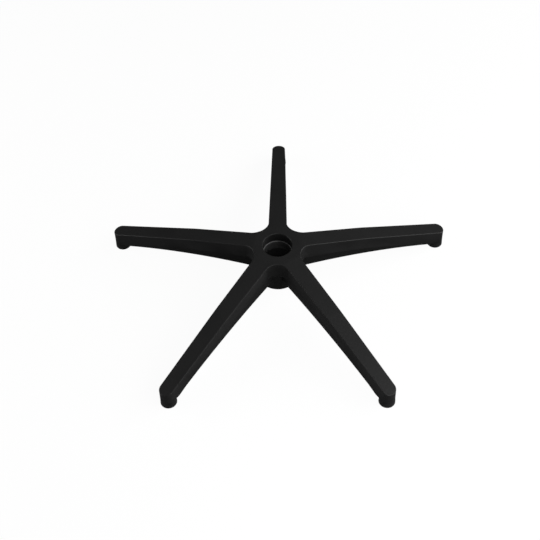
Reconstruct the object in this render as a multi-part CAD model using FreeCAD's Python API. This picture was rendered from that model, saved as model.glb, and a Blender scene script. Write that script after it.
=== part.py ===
import FreeCAD, Part
import math
import os

os.makedirs("parts", exist_ok=True)

# Five-legged base of a swivel chair, moulded in one piece. Millimetres, +Z up.
# Heights are counted from the lower ends of the caster bosses; the finished part is then
# lowered so that the origin is the centre of the mouth of the hub.

# Plan of the star
leg_count = 5
first_leg_angle = 90.0       # degrees from +X: one leg points along +Y
caster_station = 303.4       # hub axis to caster axis
hub_station = 45.0           # distance from the hub axis where hub_half_width is measured
hub_half_width = 15.8        # half the width of a leg's top near the hub
tip_half_width = 12.3        # half the width of the top over the caster, and radius of its round end
corner_radius = 24.0         # hollow rounding between neighbouring legs

# Top line of a leg, seen from the side
hub_top = 105.7
shoulder_station = 40.5      # where the level hub top turns into the falling leg
shoulder_radius = 30.0       # bend at the shoulder
knee_station = 158.0         # where the fall becomes a little steeper
knee_top = 79.4
knee_radius = 120.0          # bend at the knee
caster_top = 39.5            # height of the top over the caster axis
edge_round = 1.3             # rounding between the top and the flanks

# Flanks: an upper wall that widens downward to the parting line, and a set-back lower band
upper_draft = 1.5            # degrees
lower_draft = 4.5            # degrees, the band leans inward below the parting line
lip = 0.8                    # set-back of the band under the parting line
band_depth = 23.8            # depth of the band at hub_station, running out to nothing at the caster
band_overlap = 2.0           # reach of the band's material up inside the upper wall

# Arched lower edge of a leg
arch_top = 50.8              # height of the arch at its crown
arch_station = 15.0          # distance of the crown from the hub axis
arch_radius = 1052.0

# Hollow underside of a leg, stiffened by a zigzag of ribs
roof_thickness = 5.0
edge_wall = 3.2              # thickness of the flank's wall at the lower edge
core_draft = 0.6             # degrees
rib_thickness = 2.6
rib_recess = 3.0             # the ribs end this much above the lower edge
rib_count = 8                # diagonals in one leg
rib_start = 42.0             # distances of the zigzag's two ends from the hub axis
rib_end = 292.0

# Caster boss with a blind socket for the stem
boss_radius = 13.8           # at its foot; the boss narrows upward, flush with the leg's round end
boss_chamfer = 0.8
socket_radius = 5.6
socket_depth = 25.0
socket_chamfer = 0.8

# Hub barrel, cored from below by a ring of pockets
barrel_radius = 36.0
barrel_bottom = 26.8
barrel_chamfer = 1.2
pocket_inner = 28.8
pocket_outer = 32.8
pocket_top = 94.7
spokes_per_leg = 3
spoke_thickness = 3.0

# Column bore: cylindrical mouth, ledge, and two bands of the taper with a relieved length between
mouth_radius = 25.4
mouth_round = 1.2
ledge_depth = 18.5           # from the hub's top down to the ledge
ledge_chamfer = 0.6
seat_radius = 24.6           # radius of the taper at the ledge
taper_run = 40.0             # height in which the taper's radius shrinks by one
upper_seat = 18.0            # lengths of the two bands of the taper
lower_seat = 16.0
relief_radius = 26.2

beyond = 15.0                # margin by which cutting shapes pass the faces of the part
touch = 0.01                 # nearness at which an edge counts as lying on a face

leg_step = 360.0 / leg_count
half_step = math.radians(leg_step / 2)
upper_lean = math.tan(math.radians(upper_draft))
lower_lean = math.tan(math.radians(lower_draft))
core_lean = math.tan(math.radians(core_draft))
band_end = caster_station - boss_radius
sweep = caster_station       # half the width of shapes swept across a leg
zaxis = FreeCAD.Vector(0, 0, 1)


def at(s, y, z):
    return FreeCAD.Vector(s, y, z)


def turned(shape, index):
    # copy of a shape built along +X, turned to a leg's direction
    copy = shape.copy()
    copy.rotate(at(0, 0, 0), zaxis, first_leg_angle + index * leg_step)
    return copy


def around(shape):
    return [turned(shape, index) for index in range(leg_count)]


def cylinder(radius, low, high, s=0.0):
    return Part.makeCylinder(radius, high - low, at(s, 0, low))


# Plan outline: straight flanks tangent to the round leg ends and to the hollow corners

tip_plan = tip_half_width - (hub_top - caster_top) * upper_lean
plan_run = caster_station - hub_station
plan_span = math.hypot(plan_run, hub_half_width)
flank_turn = math.atan2(hub_half_width, plan_run) - math.asin(tip_plan / plan_span)
flank_offset = caster_station * math.sin(flank_turn) + tip_plan
corner_reach = (flank_offset + corner_radius) / math.sin(half_step + flank_turn)


def tip_radius(z):
    # radius of the round end of a leg at a height
    return tip_plan + (hub_top - z) * upper_lean


def upper_half_width(s, z):
    # half the width of the upper wall at a distance and a height
    offset = flank_offset + (hub_top - z) * upper_lean
    return (offset - s * math.sin(flank_turn)) / math.cos(flank_turn)


def star_outline(z):
    tip = tip_radius(z)
    hollow = corner_radius + tip_plan - tip
    nx = math.sin(flank_turn)
    ny = math.cos(flank_turn)
    cx = corner_reach * math.cos(half_step)
    cy = corner_reach * math.sin(half_step)
    deep = corner_reach - hollow
    inner_low = at(cx - hollow * nx, hollow * ny - cy, z)
    tip_low = at(caster_station + tip * nx, -tip * ny, z)
    tip_far = at(caster_station + tip, 0, z)
    tip_high = at(caster_station + tip * nx, tip * ny, z)
    inner_high = at(cx - hollow * nx, cy - hollow * ny, z)
    corner_mid = at(deep * math.cos(half_step), deep * math.sin(half_step), z)
    next_low = FreeCAD.Rotation(zaxis, leg_step).multVec(inner_low)
    leg = [
        Part.makeLine(inner_low, tip_low),
        Part.Arc(tip_low, tip_far, tip_high).toShape(),
        Part.makeLine(tip_high, inner_high),
        Part.Arc(inner_high, corner_mid, next_low).toShape(),
    ]
    edges = []
    for index in range(leg_count):
        edges += [turned(edge, index) for edge in leg]
    return Part.Wire(edges)


# Side view: lines in the X-Z plane for a leg that points along +X

def arch(s):
    return arch_top - arch_radius + math.sqrt(arch_radius ** 2 - (s - arch_station) ** 2)


def parting(s):
    return arch(s) + band_depth * (band_end - s) / (band_end - hub_station)


def bent_line(corners, radii):
    # straight edges through the corners, with a tangent arc at each inner one
    edges = []
    start = corners[0]
    for before, corner, after, radius in zip(corners, corners[1:], corners[2:], radii):
        back = (before - corner).normalize()
        onward = (after - corner).normalize()
        half_angle = back.getAngle(onward) / 2
        reach = radius / math.tan(half_angle)
        bisector = (back + onward).normalize()
        middle = corner + bisector * (radius / math.sin(half_angle) - radius)
        edges.append(Part.makeLine(start, corner + back * reach))
        edges.append(Part.Arc(corner + back * reach, middle, corner + onward * reach).toShape())
        start = corner + onward * reach
    return edges + [Part.makeLine(start, corners[-1])]


def top_line(drop):
    # level hub, fall to the knee and steeper fall over the caster, all lowered by drop
    knee = at(knee_station, 0, knee_top - drop)
    caster = at(caster_station, 0, caster_top - drop)
    corners = [
        at(0, 0, hub_top - drop),
        at(shoulder_station, 0, hub_top - drop),
        knee,
        caster + (caster - knee).normalize() * (2 * beyond),
    ]
    return bent_line(corners, [shoulder_radius, knee_radius])


def low_line(height, lift):
    # curved lower limit out to the caster boss, then level past the end of the leg
    inner = at(0, 0, height(0) + lift)
    middle = at(band_end / 2, 0, height(band_end / 2) + lift)
    outer = at(band_end, 0, height(band_end) + lift)
    past = at(caster_station + 3 * beyond, 0, outer.z)
    return [Part.Arc(inner, middle, outer).toShape(), Part.makeLine(outer, past)]


def level_line(z):
    return [Part.makeLine(at(0, 0, z), at(caster_station + 3 * beyond, 0, z))]


def slab(upper, lower, half_span):
    # everything between two side-view lines, swept across the leg
    inner = Part.makeLine(lower[0].Vertexes[0].Point, upper[0].Vertexes[0].Point)
    outer = Part.makeLine(upper[-1].Vertexes[-1].Point, lower[-1].Vertexes[-1].Point)
    edges = Part.sortEdges(upper + [outer] + lower + [inner])[0]
    face = Part.Face(Part.Wire(edges))
    face.translate(at(0, -half_span, 0))
    return face.extrude(at(0, 2 * half_span, 0))


def leaning(s0, z0, w0, s1, z1, w1, lean):
    # half width that is linear in distance and height, through two given values
    rate = (w1 - w0 - lean * (z1 - z0)) / (s1 - s0)
    return lambda s, z: w0 + lean * (z - z0) + rate * (s - s0)


def block(width, s0, s1, z0, z1):
    # six-sided solid with flat leaning flanks
    def ring(s):
        return [
            at(s, -width(s, z0), z0),
            at(s, width(s, z0), z0),
            at(s, width(s, z1), z1),
            at(s, -width(s, z1), z1),
        ]

    a = ring(s0)
    b = ring(s1)
    loops = [a, b]
    for i in range(4):
        j = (i + 1) % 4
        loops.append([a[i], a[j], b[j], b[i]])
    faces = [Part.Face(Part.makePolygon(loop + loop[:1])) for loop in loops]
    solid = Part.Solid(Part.Shell(faces))
    if solid.Volume < 0:
        solid.reverse()
    return solid


# Upper body: drafted star under the five falling top lines, above the parting line

sector_reach = caster_station + 4 * beyond
sector_side = sector_reach * math.tan(half_step)
sector = Part.Face(Part.makePolygon([
    at(0, 0, -beyond),
    at(sector_reach, -sector_side, -beyond),
    at(sector_reach, sector_side, -beyond),
    at(0, 0, -beyond),
])).extrude(at(0, 0, hub_top + 2 * beyond))
leg_room = slab(top_line(0), low_line(parting, 0), sweep).common(sector)
rooms = around(leg_room)
room = rooms[0].multiFuse(rooms[1:]).removeSplitter()
star = Part.makeLoft([star_outline(hub_top + beyond), star_outline(-beyond)], True, True)
upper = star.common(room).removeSplitter()


def is_top_edge(body, edge):
    # a sharp edge between the top and a flank
    span = edge.ParameterRange
    spot = edge.valueAt((span[0] + span[1]) / 2)
    rises = []
    for face in body.ancestorsOfType(edge, Part.Face):
        rises.append(face.normalAt(*face.Surface.parameter(spot)).z)
    return len(rises) == 2 and max(rises) > 0.8 and abs(min(rises)) < 0.3


upper = upper.makeFillet(edge_round, [edge for edge in upper.Edges if is_top_edge(upper, edge)])

# Lower band of a leg, leaning inward below the parting line

hub_part = parting(hub_station)
end_part = parting(band_end)
band_width = leaning(
    hub_station, hub_part, upper_half_width(hub_station, hub_part) - lip,
    band_end, end_part, upper_half_width(band_end, end_part) - lip,
    lower_lean,
)
band = block(band_width, barrel_radius / 2, band_end + boss_radius / 2, 0.0, hub_top)
band = band.common(slab(low_line(parting, band_overlap), low_line(arch, 0), sweep))

# Caster boss and hub barrel

leg_foot = arch(band_end)
boss_profile = Part.makePolygon([
    at(caster_station, 0, 0),
    at(caster_station + boss_radius - boss_chamfer, 0, 0),
    at(caster_station + boss_radius, 0, boss_chamfer),
    at(caster_station + tip_radius(leg_foot), 0, leg_foot),
    at(caster_station, 0, leg_foot + boss_radius),
    at(caster_station, 0, 0),
])
boss = Part.Face(boss_profile).revolve(at(caster_station, 0, 0), zaxis, 360)
barrel = cylinder(barrel_radius, barrel_bottom, pocket_top)
foot_edges = [edge for edge in barrel.Edges if abs(edge.BoundBox.ZMax - barrel_bottom) < touch]
barrel = barrel.makeChamfer(barrel_chamfer, foot_edges)

body = upper.multiFuse(around(band) + around(boss) + [barrel]).removeSplitter()

# Hollow of a leg between barrel and boss, less its zigzag ribs

core_width = leaning(
    hub_station, arch(hub_station), band_width(hub_station, arch(hub_station)) - edge_wall,
    band_end, arch(band_end), band_width(band_end, arch(band_end)) - edge_wall,
    -core_lean,
)
core = block(core_width, barrel_radius / 2, caster_station, -beyond, hub_top)
core = core.common(slab(top_line(roof_thickness), level_line(-beyond), sweep))
core = core.cut(cylinder(barrel_radius, -2 * beyond, hub_top + beyond))
core = core.cut(cylinder(boss_radius, -2 * beyond, hub_top + beyond, caster_station))

ribs = []
pitch = (rib_end - rib_start) / rib_count
for i in range(rib_count):
    side = 1 if i % 2 else -1
    s0 = rib_start + i * pitch
    s1 = s0 + pitch
    a = at(s0, -side * core_width(s0, arch(s0)), 0)
    b = at(s1, side * core_width(s1, arch(s1)), 0)
    along = (b - a).normalize()
    across = at(-along.y, along.x, 0) * (rib_thickness / 2)
    a = a - along * rib_thickness
    b = b + along * rib_thickness
    plan = Part.makePolygon([a - across, b - across, b + across, a + across, a - across])
    ribs.append(Part.Face(plan).extrude(at(0, 0, hub_top)))
ribs = ribs[0].multiFuse(ribs[1:])
ribs = ribs.common(slab(top_line(0), low_line(arch, rib_recess), sweep))
core = core.cut(ribs)

# Caster socket with a small lead-in

socket = cylinder(socket_radius, 0.0, socket_depth, caster_station)
lead_in = Part.makeCone(
    socket_radius + 2 * socket_chamfer, socket_radius, 2 * socket_chamfer,
    at(caster_station, 0, -socket_chamfer),
)
socket = socket.fuse(lead_in)

# Ring of pockets in the barrel

ring = cylinder(pocket_outer, barrel_bottom - beyond, pocket_top)
ring = ring.cut(cylinder(pocket_inner, barrel_bottom - 2 * beyond, hub_top))
spoke = Part.makeBox(
    barrel_radius, spoke_thickness, hub_top,
    at(0, -spoke_thickness / 2, barrel_bottom - 2 * beyond),
)
spokes = []
for i in range(leg_count * spokes_per_leg):
    copy = spoke.copy()
    copy.rotate(at(0, 0, 0), zaxis, first_leg_angle + i * leg_step / spokes_per_leg)
    spokes.append(copy)
pockets = ring.cut(spokes)

# Column bore, turned about the hub axis

ledge = hub_top - ledge_depth


def taper(z):
    return seat_radius - (ledge - z) / taper_run


upper_end = ledge - upper_seat
lower_end = barrel_bottom + lower_seat
upper_step = relief_radius - taper(upper_end)
lower_step = relief_radius - taper(lower_end)
foot = barrel_bottom - beyond
profile = Part.makePolygon([
    at(0, 0, hub_top + beyond),
    at(mouth_radius, 0, hub_top + beyond),
    at(mouth_radius, 0, ledge),
    at(seat_radius + ledge_chamfer, 0, ledge),
    at(seat_radius, 0, ledge - ledge_chamfer),
    at(taper(upper_end), 0, upper_end),
    at(relief_radius, 0, upper_end - upper_step),
    at(relief_radius, 0, lower_end + lower_step),
    at(taper(lower_end), 0, lower_end),
    at(taper(foot), 0, foot),
    at(0, 0, foot),
    at(0, 0, hub_top + beyond),
])
bore = Part.Face(profile).revolve(at(0, 0, 0), zaxis, 360)

body = body.cut(around(core) + around(socket) + [pockets, bore])

# Rounded rim of the mouth


def is_rim(edge):
    # a circle of the mouth's radius in the plane of the hub's top
    round_edge = isinstance(edge.Curve, Part.Circle) and abs(edge.Curve.Radius - mouth_radius) < touch
    return round_edge and abs(edge.CenterOfMass.z - hub_top) < touch


body = body.makeFillet(mouth_round, [edge for edge in body.Edges if is_rim(edge)])
body = body.removeSplitter()
body = body.Solids[0]
body.translate(at(0, 0, -hub_top))
body.exportStep("parts/five_star_base.step")
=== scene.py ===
import math
import bmesh
import bpy
from mathutils import Matrix, Vector


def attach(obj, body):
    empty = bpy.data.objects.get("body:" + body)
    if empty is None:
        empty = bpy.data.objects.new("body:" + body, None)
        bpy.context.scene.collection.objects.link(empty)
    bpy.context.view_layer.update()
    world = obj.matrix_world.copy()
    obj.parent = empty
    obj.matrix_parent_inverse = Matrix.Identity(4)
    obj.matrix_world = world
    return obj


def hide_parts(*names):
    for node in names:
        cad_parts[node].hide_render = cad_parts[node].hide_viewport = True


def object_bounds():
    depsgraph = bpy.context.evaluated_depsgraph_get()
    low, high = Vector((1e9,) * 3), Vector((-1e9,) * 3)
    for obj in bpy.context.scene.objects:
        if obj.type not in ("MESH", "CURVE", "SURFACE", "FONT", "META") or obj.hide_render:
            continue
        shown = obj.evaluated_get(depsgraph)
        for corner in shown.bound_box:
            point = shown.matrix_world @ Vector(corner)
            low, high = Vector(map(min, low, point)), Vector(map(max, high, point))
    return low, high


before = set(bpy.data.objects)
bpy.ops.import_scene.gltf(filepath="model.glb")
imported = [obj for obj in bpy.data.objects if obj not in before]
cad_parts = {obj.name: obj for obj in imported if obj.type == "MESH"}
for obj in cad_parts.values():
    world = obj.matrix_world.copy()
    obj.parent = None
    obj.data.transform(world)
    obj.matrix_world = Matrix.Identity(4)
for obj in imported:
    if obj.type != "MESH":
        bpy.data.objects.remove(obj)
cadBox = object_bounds()
scene = bpy.context.scene
scene.view_settings.view_transform = "Standard"
print("frame loaded:", sorted(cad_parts))

mmPerMetre = 1000.0


def hexColour(code):  # sRGB hex to linear RGBA
    parts = [int(code[i:i + 2], 16) / 255 for i in (1, 3, 5)]
    linear = [c / 12.92 if c <= 0.04045 else ((c + 0.055) / 1.055) ** 2.4 for c in parts]
    return (*linear, 1.0)


def perMetre(millimetres):  # texture scale for a pattern of this width
    return mmPerMetre / millimetres


def direction(turn, lift):  # degrees, turn from the front towards the right, lift above the floor
    turn, lift = math.radians(turn), math.radians(lift)
    level = math.cos(lift)
    return Vector((math.sin(turn) * level, -math.cos(turn) * level, math.sin(lift)))


def addNode(tree, kind, inputs=None, **settings):  # an input that is a socket is linked, others set
    node = tree.nodes.new(kind)
    for name, value in settings.items():
        setattr(node, name, value)
    for key, value in (inputs or {}).items():
        if isinstance(value, bpy.types.NodeSocket):
            tree.links.new(value, node.inputs[key])
        else:
            node.inputs[key].default_value = value
    return node


def addObject(name, data):
    thing = bpy.data.objects.new(name, data)
    scene.collection.objects.link(thing)
    return thing


# camera, where the photograph was taken from
cameraView = {
    "target": (-0.01383, -0.00621, -0.0605),  # m, point in the middle of the picture
    "distance": 1.67864,
    "turn": 2.0376,        # degrees
    "lift": 51.2322,
    "roll": -1.8990,
    "focalPixels": 955.3,
    "imagePixels": 540,
    "sensorWidth": 36.0,   # mm
}


def makeCamera(view):
    back = direction(view["turn"], view["lift"])
    right = (-back).cross(Vector((0, 0, 1))).normalized()
    up = right.cross(-back)
    roll = math.radians(view["roll"])
    across = right * math.cos(roll) + up * math.sin(roll)
    rise = up * math.cos(roll) - right * math.sin(roll)
    data = bpy.data.cameras.new("photoCamera")
    data.sensor_width = view["sensorWidth"]
    data.lens = view["focalPixels"] / view["imagePixels"] * view["sensorWidth"]
    camera = addObject("photoCamera", data)
    camera.matrix_world = Matrix((across, rise, back)).transposed().to_4x4()
    camera.location = Vector(view["target"]) + back * view["distance"]
    scene.camera = camera


makeCamera(cameraView)
print("camera set")

# black glass-filled nylon, moulded in a spark-eroded tool: an even satin skin whose fine grain
# breaks up the gloss, with cloudy patches of a little more or less sheen where the melt flowed,
# and edges rubbed a little smoother by handling, made paler there as a painted highlight. Below
# the parting line the plainer core half of the tool leaves it duller, and its deeper colour there
# is painted shade. The bore is smooth from a polished core pin: its upper seat is burnished
# greyer by the column's taper, and its ledge carries a pale ring of painted highlight
nylonLook = {
    "deep": "#1a1a1a",          # clouds, from the darkest
    "pale": "#272727",          # to the palest
    "coreHalfAndShade": "#191919",      # painted shade below the parting line
    "rubbedEdgeHighlight": "#282828",        # along worn edges, paler partly as a painted highlight
    "ledgeHighlight": "#747474",       # painted highlight ring at the ledge of the bore
    "ledge": (-19.5, -18.3),    # mm, lower and upper limit of that ring
    "burnished": "#404040",     # upper seat of the column
    "seat": (-36.6, -18.3),     # mm, its limits
    "boreRadius": 25.5,         # mm, inside this the core pin was polished
    "flowWidth": 55.0,          # mm, clouds of sheen
    "flowDetail": 2.0,
    "flowRoughness": 0.5,
    "flowRange": (0.32, 0.68),  # part of the noise that goes from deep to pale
    "grainWidth": 1.1,          # mm; the real grain is about 0.2, drawn coarser so that it shows
    "grainDetail": 3.0,
    "grainRoughness": 0.65,
    "grainDepth": 0.05,         # mm
    "grainStrength": 0.25,
    "boreGrain": 0.1,           # strength that is left in the bore
    "leastWearAndHighlight": 0.7,           # share of an edge's wear and painted highlight in the darkest cloud
    "satin": (0.39, 0.47),      # roughness, in the darkest and the palest cloud
    "coreRough": 0.44,
    "edgeRough": 0.27,
    "polished": 0.3,
    "specular": 0.2,
    "ior": 1.53,
}


def makeNylon(look):
    material = bpy.data.materials.new("blackMouldedNylon")
    material.use_nodes = True
    tree = material.node_tree
    tree.nodes.clear()
    place = addNode(tree, "ShaderNodeTexCoord").outputs["Object"]
    flow = addNode(tree, "ShaderNodeTexNoise", {
        "Vector": place, "Scale": perMetre(look["flowWidth"]),
        "Detail": look["flowDetail"], "Roughness": look["flowRoughness"]})
    grain = addNode(tree, "ShaderNodeTexNoise", {
        "Vector": place, "Scale": perMetre(look["grainWidth"]),
        "Detail": look["grainDetail"], "Roughness": look["grainRoughness"]})
    cloud = addNode(tree, "ShaderNodeMapRange", {
        "Value": flow.outputs["Fac"],
        "From Min": look["flowRange"][0], "From Max": look["flowRange"][1]}).outputs["Result"]
    edgeWearAndHighlight = addNode(tree, "ShaderNodeAttribute", attribute_name="edgeWearAndHighlight").outputs["Fac"]
    coreHalfAndShade = addNode(tree, "ShaderNodeAttribute", attribute_name="coreHalfAndShade").outputs["Fac"]
    edgeCloudShare = addNode(tree, "ShaderNodeMapRange", {"Value": cloud, "To Min": look["leastWearAndHighlight"]})
    patchy = addNode(tree, "ShaderNodeMath", {
        0: edgeWearAndHighlight, 1: edgeCloudShare.outputs["Result"]}, operation="MULTIPLY").outputs["Value"]
    axes = addNode(tree, "ShaderNodeSeparateXYZ", {"Vector": place}).outputs
    flat = addNode(tree, "ShaderNodeCombineXYZ", {"X": axes["X"], "Y": axes["Y"]})
    reach = addNode(tree, "ShaderNodeVectorMath", {0: flat.outputs["Vector"]}, operation="LENGTH")
    inBore = addNode(tree, "ShaderNodeMath", {
        0: reach.outputs["Value"], 1: look["boreRadius"] / mmPerMetre},
        operation="LESS_THAN").outputs["Value"]
    skin = addNode(tree, "ShaderNodeMix", {
        "Factor": cloud, "A": hexColour(look["deep"]), "B": hexColour(look["pale"])},
        data_type="RGBA")
    # the darker colour below the parting line is painted shade
    halves = addNode(tree, "ShaderNodeMix", {
        "Factor": coreHalfAndShade, "A": skin.outputs["Result"], "B": hexColour(look["coreHalfAndShade"])},
        data_type="RGBA")
    # paler colour along worn upward edges: partly wear, partly a painted highlight
    colour = addNode(tree, "ShaderNodeMix", {
        "Factor": patchy, "A": halves.outputs["Result"], "B": hexColour(look["rubbedEdgeHighlight"])},
        data_type="RGBA")
    # the seat's burnished tone, and a pale ring at the ledge that is a painted highlight
    for zone, tint in (("seat", "burnished"), ("ledge", "ledgeHighlight")):
        low, high = (limit / mmPerMetre for limit in look[zone])
        level = addNode(tree, "ShaderNodeMath", {
            0: axes["Z"], 1: (low + high) / 2, 2: (high - low) / 2}, operation="COMPARE")
        ring = addNode(tree, "ShaderNodeMath", {
            0: level.outputs["Value"], 1: inBore}, operation="MULTIPLY")
        colour = addNode(tree, "ShaderNodeMix", {
            "Factor": ring.outputs["Value"], "A": colour.outputs["Result"],
            "B": hexColour(look[tint])}, data_type="RGBA")
    satin = addNode(tree, "ShaderNodeMapRange", {
        "Value": cloud, "To Min": look["satin"][0], "To Max": look["satin"][1]})
    dull = addNode(tree, "ShaderNodeMix", {
        "Factor": coreHalfAndShade, "A": satin.outputs["Result"], "B": look["coreRough"]})
    smooth = addNode(tree, "ShaderNodeMix", {
        "Factor": patchy, "A": dull.outputs["Result"], "B": look["edgeRough"]})
    rough = addNode(tree, "ShaderNodeMix", {
        "Factor": inBore, "A": smooth.outputs["Result"], "B": look["polished"]})
    strength = addNode(tree, "ShaderNodeMapRange", {
        "Value": inBore, "To Min": look["grainStrength"], "To Max": look["boreGrain"]})
    bump = addNode(tree, "ShaderNodeBump", {
        "Strength": strength.outputs["Result"], "Distance": look["grainDepth"] / mmPerMetre,
        "Height": grain.outputs["Fac"]})
    shader = addNode(tree, "ShaderNodeBsdfPrincipled", {
        "Base Color": colour.outputs["Result"], "Roughness": rough.outputs["Result"],
        "IOR": look["ior"], "Specular IOR Level": look["specular"],
        "Normal": bump.outputs["Normal"]})
    addNode(tree, "ShaderNodeOutputMaterial", {"Surface": shader.outputs["BSDF"]})
    return material


nylon = makeNylon(nylonLook)
print("nylon made")

# the star itself: a welded copy of the solid, shaded smooth across its roundings
starFinish = {
    "weld": 0.00001,        # m, corners nearer than this are one
    "crease": 28.0,         # degrees, sharper edges stay crisp
    "gentle": (2.0, 28.0),  # degrees, a convex bend between these is a rounded edge that gets worn and a painted highlight
    "widest": 0.003,        # m, facets wider than this belong to no rounding
    "upward": 0.05,         # facets whose normal rises less than this get no wear or painted highlight
    "evenWeight": 80,       # above 50, so that large facets lead the shading
}
partingLine = {  # mm, heights below the hub's top, distances from the hub axis
    "legs": 5,
    "firstLeg": 90.0,       # degrees
    "archCrown": -54.9,
    "archCentre": 15.0,
    "archRadius": 1052.0,
    "bandDepth": 23.8,      # above the arch at bandStart, running out at bandEnd
    "bandStart": 45.0,
    "bandEnd": 289.6,
}


def belowParting(spot, line):
    half = math.pi / line["legs"]
    turn = math.atan2(spot.y, spot.x) - math.radians(line["firstLeg"])
    fromLeg = (turn + half) % (2 * half) - half  # angle from the middle of the nearest leg
    along = math.hypot(spot.x, spot.y) * math.cos(fromLeg) * mmPerMetre
    along = min(along, line["bandEnd"])
    radius, offset = line["archRadius"], along - line["archCentre"]
    sag = math.sqrt(radius ** 2 - offset ** 2) - radius
    rise = line["bandDepth"] * (line["bandEnd"] - along) / (line["bandEnd"] - line["bandStart"])
    return spot.z * mmPerMetre < line["archCrown"] + sag + rise


def makeStar(node, finish, line, material):
    mesh = node.data.copy()
    mesh.name = "mouldedStar"
    shell = bmesh.new()
    shell.from_mesh(mesh)
    bmesh.ops.remove_doubles(shell, verts=shell.verts, dist=finish["weld"])
    bmesh.ops.dissolve_degenerate(shell, edges=shell.edges, dist=finish["weld"])
    # convex upward edges, marked for wear and a painted highlight
    edgeWearAndHighlight = shell.verts.layers.float.new("edgeWearAndHighlight")
    low, high = (math.radians(angle) for angle in finish["gentle"])
    for edge in shell.edges:
        bend = edge.calc_face_angle_signed(0.0)
        upward = all(face.normal.z > finish["upward"] for face in edge.link_faces)
        widths = [2 * face.calc_area() / max(side.calc_length() for side in face.edges)
                  for face in edge.link_faces]
        if low < bend < high and upward and min(widths) < finish["widest"]:
            for corner in edge.verts:
                corner[edgeWearAndHighlight] = 1.0
    # faces below the parting line: made duller, and darkened in the material as painted shade
    coreHalfAndShade = shell.faces.layers.float.new("coreHalfAndShade")
    for face in shell.faces:
        face[coreHalfAndShade] = float(belowParting(face.calc_center_median(), line))
    shell.to_mesh(mesh)
    shell.free()
    mesh.materials.clear()
    mesh.materials.append(material)
    mesh.shade_smooth()
    mesh.set_sharp_from_angle(angle=math.radians(finish["crease"]))
    piece = addObject("mouldedStar", mesh)
    even = piece.modifiers.new("evenShading", "WEIGHTED_NORMAL")
    even.keep_sharp = True
    even.weight = finish["evenWeight"]
    return piece


star = makeStar(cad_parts["five_star_base"], starFinish, partingLine, nylon)
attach(star, "root")
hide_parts("five_star_base")
print("star welded:", len(star.data.polygons), "faces")

# drafted bosses that the ejector pins of the mould push on, one in the middle of each rib's
# lower edge
bossRow = {
    "Legs": 5,
    "Bosses": 8,           # on one leg
    "First leg": 90.0,     # degrees
    "First boss": 57.625,  # mm from the hub axis
    "Pitch": 31.25,
    "Arch crown": -51.9,   # ribs' lower edge under the hub, below the hub's top
    "Arch centre": 15.0,   # distance of the crown from the hub axis
    "Arch radius": 1052.0,
    "Foot radius": 2.7,
    "Root radius": 3.3,
    "Height": 18.0,
    "Proud": 0.2,          # below the rib
    "Sides": 24,
}
bossLengths = ("First boss", "Pitch", "Arch crown", "Arch centre", "Arch radius",
               "Foot radius", "Root radius", "Height", "Proud")  # in mm


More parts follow.
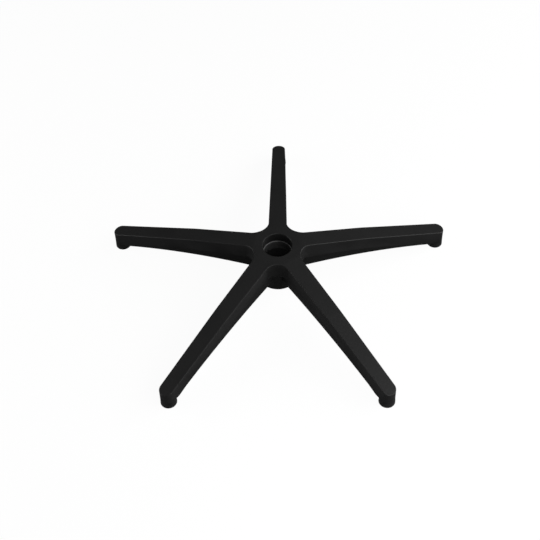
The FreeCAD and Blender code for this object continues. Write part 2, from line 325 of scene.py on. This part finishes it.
def makeBossTree(row, material):
    tree = bpy.data.node_groups.new("ejectorBosses", "GeometryNodeTree")
    tree.interface.new_socket("Geometry", in_out="OUTPUT", socket_type="NodeSocketGeometry")
    for name, value in row.items():
        kind = "NodeSocketInt" if isinstance(value, int) else "NodeSocketFloat"
        tree.interface.new_socket(name, in_out="INPUT", socket_type=kind)
    size = addNode(tree, "NodeGroupInput").outputs
    start = addNode(tree, "ShaderNodeCombineXYZ", {"X": size["First boss"]})
    step = addNode(tree, "ShaderNodeCombineXYZ", {"X": size["Pitch"]})
    line = addNode(tree, "GeometryNodeMeshLine", {
        "Count": size["Bosses"], "Start Location": start.outputs["Vector"],
        "Offset": step.outputs["Vector"]})
    # each point of the line drops to the rib's lower edge, which follows an arch
    where = addNode(tree, "GeometryNodeInputPosition")
    spot = addNode(tree, "ShaderNodeSeparateXYZ", {"Vector": where.outputs["Position"]})
    along = addNode(tree, "ShaderNodeMath", {
        0: spot.outputs["X"], 1: size["Arch centre"]}, operation="SUBTRACT")
    alongSquare = addNode(tree, "ShaderNodeMath", {
        0: along.outputs["Value"], 1: 2.0}, operation="POWER")
    radiusSquare = addNode(tree, "ShaderNodeMath", {
        0: size["Arch radius"], 1: 2.0}, operation="POWER")
    upright = addNode(tree, "ShaderNodeMath", {
        0: radiusSquare.outputs["Value"], 1: alongSquare.outputs["Value"]}, operation="SUBTRACT")
    level = addNode(tree, "ShaderNodeMath", {0: upright.outputs["Value"]}, operation="SQRT")
    sag = addNode(tree, "ShaderNodeMath", {
        0: level.outputs["Value"], 1: size["Arch radius"]}, operation="SUBTRACT")
    ribEdge = addNode(tree, "ShaderNodeMath", {
        0: size["Arch crown"], 1: sag.outputs["Value"]}, operation="ADD")
    foot = addNode(tree, "ShaderNodeMath", {
        0: ribEdge.outputs["Value"], 1: size["Proud"]}, operation="SUBTRACT")
    drop = addNode(tree, "ShaderNodeCombineXYZ", {"Z": foot.outputs["Value"]})
    places = addNode(tree, "GeometryNodeSetPosition", {
        "Geometry": line.outputs["Mesh"], "Offset": drop.outputs["Vector"]})
    boss = addNode(tree, "GeometryNodeMeshCone", {
        "Vertices": size["Sides"], "Radius Top": size["Root radius"],
        "Radius Bottom": size["Foot radius"], "Depth": size["Height"]})
    marked = addNode(tree, "GeometryNodeStoreNamedAttribute", {
        "Geometry": boss.outputs["Mesh"], "Name": "coreHalfAndShade", "Value": 1.0},
        data_type="FLOAT", domain="FACE")  # all of it lies below the parting line, so it takes the painted shade
    oneLeg = addNode(tree, "GeometryNodeInstanceOnPoints", {
        "Points": places.outputs["Geometry"], "Instance": marked.outputs["Geometry"]})
    legBosses = addNode(tree, "GeometryNodeRealizeInstances", {
        "Geometry": oneLeg.outputs["Instances"]})
    # the row of one leg is repeated round the hub
    hub = addNode(tree, "GeometryNodeMeshLine", {
        "Count": size["Legs"], "Offset": (0.0, 0.0, 0.0)})
    share = addNode(tree, "ShaderNodeMath", {0: 2 * math.pi, 1: size["Legs"]}, operation="DIVIDE")
    number = addNode(tree, "GeometryNodeInputIndex")
    firstLeg = addNode(tree, "ShaderNodeMath", {0: size["First leg"]}, operation="RADIANS")
    turn = addNode(tree, "ShaderNodeMath", {
        0: number.outputs["Index"], 1: share.outputs["Value"], 2: firstLeg.outputs["Value"]},
        operation="MULTIPLY_ADD")
    spin = addNode(tree, "ShaderNodeCombineXYZ", {"Z": turn.outputs["Value"]})
    allLegs = addNode(tree, "GeometryNodeInstanceOnPoints", {
        "Points": hub.outputs["Mesh"], "Instance": legBosses.outputs["Geometry"],
        "Rotation": spin.outputs["Vector"]})
    whole = addNode(tree, "GeometryNodeRealizeInstances", {
        "Geometry": allLegs.outputs["Instances"]})
    finished = addNode(tree, "GeometryNodeSetMaterial", {
        "Geometry": whole.outputs["Geometry"], "Material": material})
    addNode(tree, "NodeGroupOutput", {"Geometry": finished.outputs["Geometry"]})
    return tree


def makeBosses(row, crease, material):
    tree = makeBossTree(row, material)
    carrier = addObject("bossCarrier", bpy.data.meshes.new("bossCarrier"))
    maker = carrier.modifiers.new("ejectorBosses", "NODES")
    maker.node_group = tree
    sockets = {item.name: item.identifier
               for item in tree.interface.items_tree if item.in_out == "INPUT"}
    for name, value in row.items():
        maker[sockets[name]] = value / mmPerMetre if name in bossLengths else value
    evaluated = carrier.evaluated_get(bpy.context.evaluated_depsgraph_get())
    mesh = bpy.data.meshes.new_from_object(evaluated)
    bpy.data.objects.remove(carrier)
    mesh.name = "ejectorBosses"
    mesh.shade_smooth()
    mesh.set_sharp_from_angle(angle=math.radians(crease))
    return addObject("ejectorBosses", mesh)


bosses = makeBosses(bossRow, starFinish["crease"], nylon)
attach(bosses, "root")
print("ejector bosses:", bossRow["Legs"] * bossRow["Bosses"])

# pale studio: floor, backdrop and soft lamps
studio = {
    "floorSize": 9.0,          # m
    "floorColour": "#6c6c6c",  # as the plastic sees it
    "paperColour": "#f4f4f4",  # as the eye sees it
    "whiteShare": 0.92,        # how far the floor fades to white, the rest keeps the shadow
    "glossyShare": 0.02,       # how much of that white the plastic mirrors
    "floorWhite": 1.03,        # strength, makes up for the paper's own share
    "backdrop": "#ffffff",
    "backdropWhite": 1.0,      # strength, as the eye sees it
    "fill": 0.032,             # strength, light of the room
}
lamps = [  # turn and lift in degrees as for the camera, distance and size in metres, power in watts
    {"name": "rightLow", "turn": 95, "lift": 30, "distance": 2.0, "size": 1.6, "power": 24.5},
    {"name": "leftLow", "turn": 270, "lift": 14, "distance": 2.0, "size": 1.6, "power": 22.5},
    {"name": "frontRightLow", "turn": 28, "lift": 14, "distance": 2.0, "size": 1.6, "power": 4.4},
    {"name": "frontRightHigh", "turn": 40, "lift": 36, "distance": 1.1, "size": 1.0, "power": 5.6},
    {"name": "backRightRim", "turn": 115, "lift": 22, "distance": 2.0, "size": 0.4, "power": 4.0},
]


def makeFloor(look, height):
    mesh = bpy.data.meshes.new("floor")
    half = look["floorSize"] / 2
    corners = [(-half, -half), (half, -half), (half, half), (-half, half)]
    mesh.from_pydata([(x, y, height) for x, y in corners], [], [(0, 1, 2, 3)])
    material = bpy.data.materials.new("paperSweep")  # matt paper, faded to white for the eye
    material.use_nodes = True
    tree = material.node_tree
    tree.nodes.clear()
    path = addNode(tree, "ShaderNodeLightPath").outputs
    direct = addNode(tree, "ShaderNodeMath", {
        0: path["Is Camera Ray"], 1: path["Is Transmission Ray"]}, operation="MAXIMUM")
    seen = addNode(tree, "ShaderNodeMath", {
        0: direct.outputs["Value"], 1: look["whiteShare"]}, operation="MULTIPLY")
    share = addNode(tree, "ShaderNodeMath", {
        0: path["Is Glossy Ray"], 1: look["glossyShare"], 2: seen.outputs["Value"]},
        operation="MULTIPLY_ADD")
    sheetColour = addNode(tree, "ShaderNodeMix", {
        "Factor": path["Is Camera Ray"], "A": hexColour(look["floorColour"]),
        "B": hexColour(look["paperColour"])}, data_type="RGBA")
    paper = addNode(tree, "ShaderNodeBsdfDiffuse", {"Color": sheetColour.outputs["Result"]})
    white = addNode(tree, "ShaderNodeEmission", {"Strength": look["floorWhite"]})
    top = addNode(tree, "ShaderNodeMixShader", {
        0: share.outputs["Value"], 1: paper.outputs["BSDF"], 2: white.outputs["Emission"]})
    under = addNode(tree, "ShaderNodeNewGeometry").outputs["Backfacing"]
    clear = addNode(tree, "ShaderNodeBsdfTransparent")  # from below, to show the underside
    sheet = addNode(tree, "ShaderNodeMixShader", {
        0: under, 1: top.outputs["Shader"], 2: clear.outputs["BSDF"]})
    addNode(tree, "ShaderNodeOutputMaterial", {"Surface": sheet.outputs["Shader"]})
    mesh.materials.append(material)
    addObject("floor", mesh)


def makeWorld(look):
    world = bpy.data.worlds.new("studioRoom")
    world.use_nodes = True
    scene.world = world
    tree = world.node_tree
    tree.nodes.clear()
    path = addNode(tree, "ShaderNodeLightPath").outputs
    direct = addNode(tree, "ShaderNodeMath", {
        0: path["Is Camera Ray"], 1: path["Is Transmission Ray"]}, operation="MAXIMUM")
    share = addNode(tree, "ShaderNodeMath", {
        0: path["Is Glossy Ray"], 1: look["glossyShare"], 2: direct.outputs["Value"]},
        operation="MULTIPLY_ADD")
    room = addNode(tree, "ShaderNodeBackground", {
        "Color": hexColour(look["backdrop"]), "Strength": look["fill"]})
    white = addNode(tree, "ShaderNodeBackground", {
        "Color": hexColour(look["backdrop"]), "Strength": look["backdropWhite"]})
    both = addNode(tree, "ShaderNodeMixShader", {
        0: share.outputs["Value"], 1: room.outputs["Background"], 2: white.outputs["Background"]})
    addNode(tree, "ShaderNodeOutputWorld", {"Surface": both.outputs["Shader"]})


def makeLamp(lamp):
    data = bpy.data.lights.new(lamp["name"], "AREA")
    data.shape = "SQUARE"
    data.size = lamp["size"]
    data.energy = lamp["power"]
    light = addObject(lamp["name"], data)
    outward = direction(lamp["turn"], lamp["lift"])
    light.location = outward * lamp["distance"]
    light.rotation_euler = (-outward).to_track_quat("-Z", "Y").to_euler()


makeFloor(studio, cadBox[0].z)
makeWorld(studio)
for lamp in lamps:
    makeLamp(lamp)
print("studio lit by", len(lamps), "lamps")
